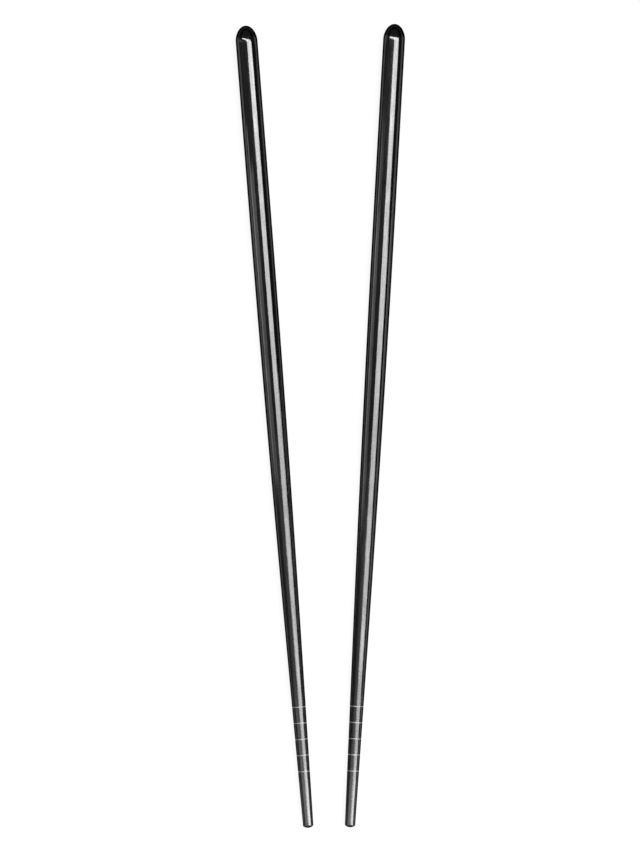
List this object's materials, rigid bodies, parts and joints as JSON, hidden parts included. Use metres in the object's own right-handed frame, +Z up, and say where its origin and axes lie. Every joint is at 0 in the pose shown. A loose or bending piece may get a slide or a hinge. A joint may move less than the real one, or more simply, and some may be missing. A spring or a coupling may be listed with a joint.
{
  "type": "pair of chopsticks",
  "caption": "Matching round steel chopsticks in a dark metal finish, domed at the head and tapering to blunt tips, with fine grip rings near the tips.",
  "frame": {"origin": "on the table, under the middle of the pair's bounding box", "axes": "+Z up from the table, +Y along the sticks towards the domed heads, +X across the pair to the right as the picture shows it"},
  "size_m": [0.0494, 0.2348, 0.0068],
  "materials": {
    "dark_steel": "satin"
  },
  "bodies": {
    "root": {"left_chopstick": "dark_steel", "right_chopstick": "dark_steel"}
  },
  "joints": []
}
